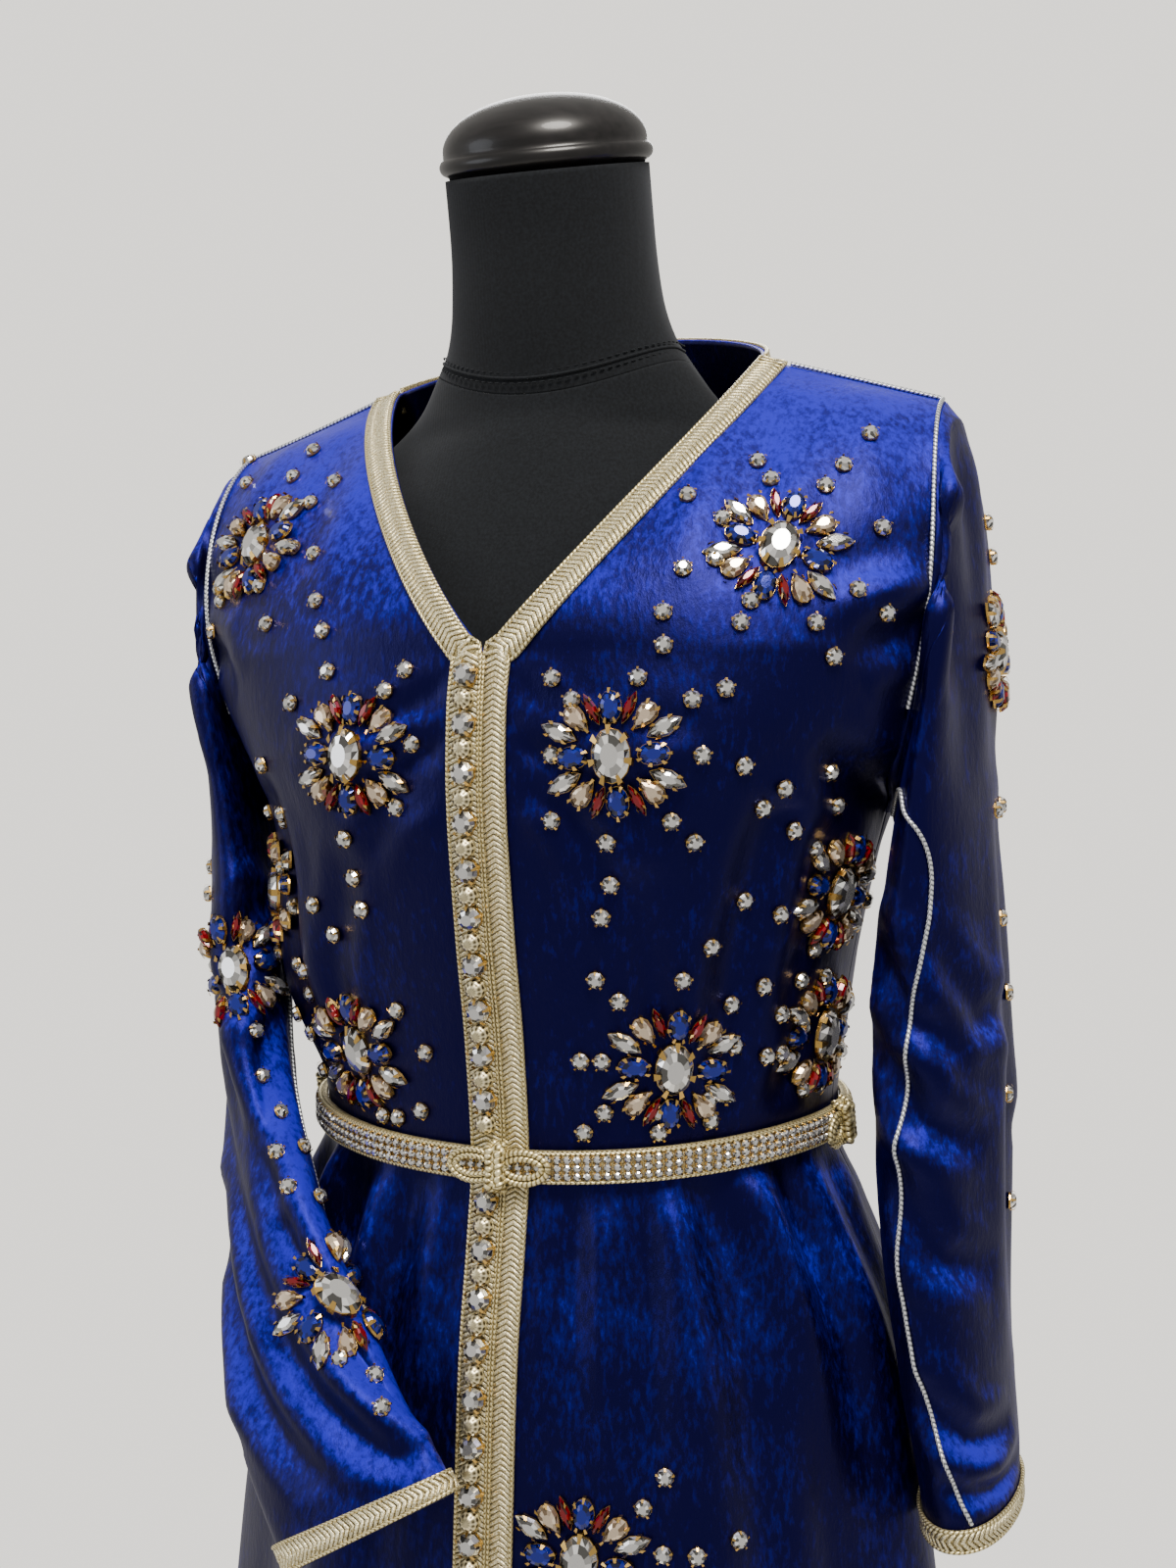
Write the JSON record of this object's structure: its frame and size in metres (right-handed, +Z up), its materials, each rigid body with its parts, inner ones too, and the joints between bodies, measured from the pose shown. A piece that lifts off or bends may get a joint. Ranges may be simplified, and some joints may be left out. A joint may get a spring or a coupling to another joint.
{
  "type": "moroccan kaftan on dress form",
  "caption": "Long-sleeved, floor-length velvet kaftan with braided front opening, ball buttons, gem flowers and a belt, worn by a limbless dress form on a stand.",
  "frame": {"origin": "centre of the underside of the form's round base, on the floor", "axes": "+Z up; the garment's front faces -Y; the wearer's left is +X"},
  "size_m": [0.5294, 0.4446, 1.5527],
  "materials": {
    "velvet": "royal blue crushed velvet",
    "braid": "pale gold metallic braid",
    "silver_cord": "silver metallic cord",
    "rhinestone": "clear foil-backed stones in metal cups, with metallic thread balls",
    "gem": "clear, champagne, blue and red foil-backed stones in gold claws",
    "jersey": "matte black jersey",
    "lacquered_wood": "dark gloss lacquer",
    "black_steel": "black satin powder coat"
  },
  "bodies": {
    "root": {"back": "velvet", "belt": "rhinestone", "belt_braid_front": "braid", "belt_braid_left": "braid", "belt_braid_right": "braid", "belt_knot_front": "braid", "belt_knot_left": "braid", "belt_knot_right": "braid", "braid_back_neck": "braid", "braid_cuff_left": "braid", "braid_cuff_right": "braid", "braid_front_left": "braid", "braid_front_right": "braid", "buttons_lower": "rhinestone", "buttons_upper": "rhinestone", "flower_arm_left": "gem", "flower_arm_right": "gem", "flower_bust_left": "gem", "flower_bust_right": "gem", "flower_elbow_right": "gem", "flower_forearm_right": "gem", "flower_rib_left": "gem", "flower_shoulder_left": "gem", "flower_shoulder_right": "gem", "flower_side_left": "gem", "flower_side_right": "gem", "flower_skirt_left": "gem", "flower_waist_left": "gem", "flower_waist_right": "gem", "form_base": "black_steel", "form_cap": "lacquered_wood", "form_neck": "jersey", "form_pole": "black_steel", "form_torso": "jersey", "front_left": "velvet", "front_right": "velvet", "piping_armhole_left": "silver_cord", "piping_armhole_right": "silver_cord", "piping_shoulder_left": "silver_cord", "piping_shoulder_right": "silver_cord", "piping_sleeve_left": "silver_cord", "piping_sleeve_right": "silver_cord", "sleeve_left": "velvet", "sleeve_right": "velvet"}
  },
  "joints": []
}
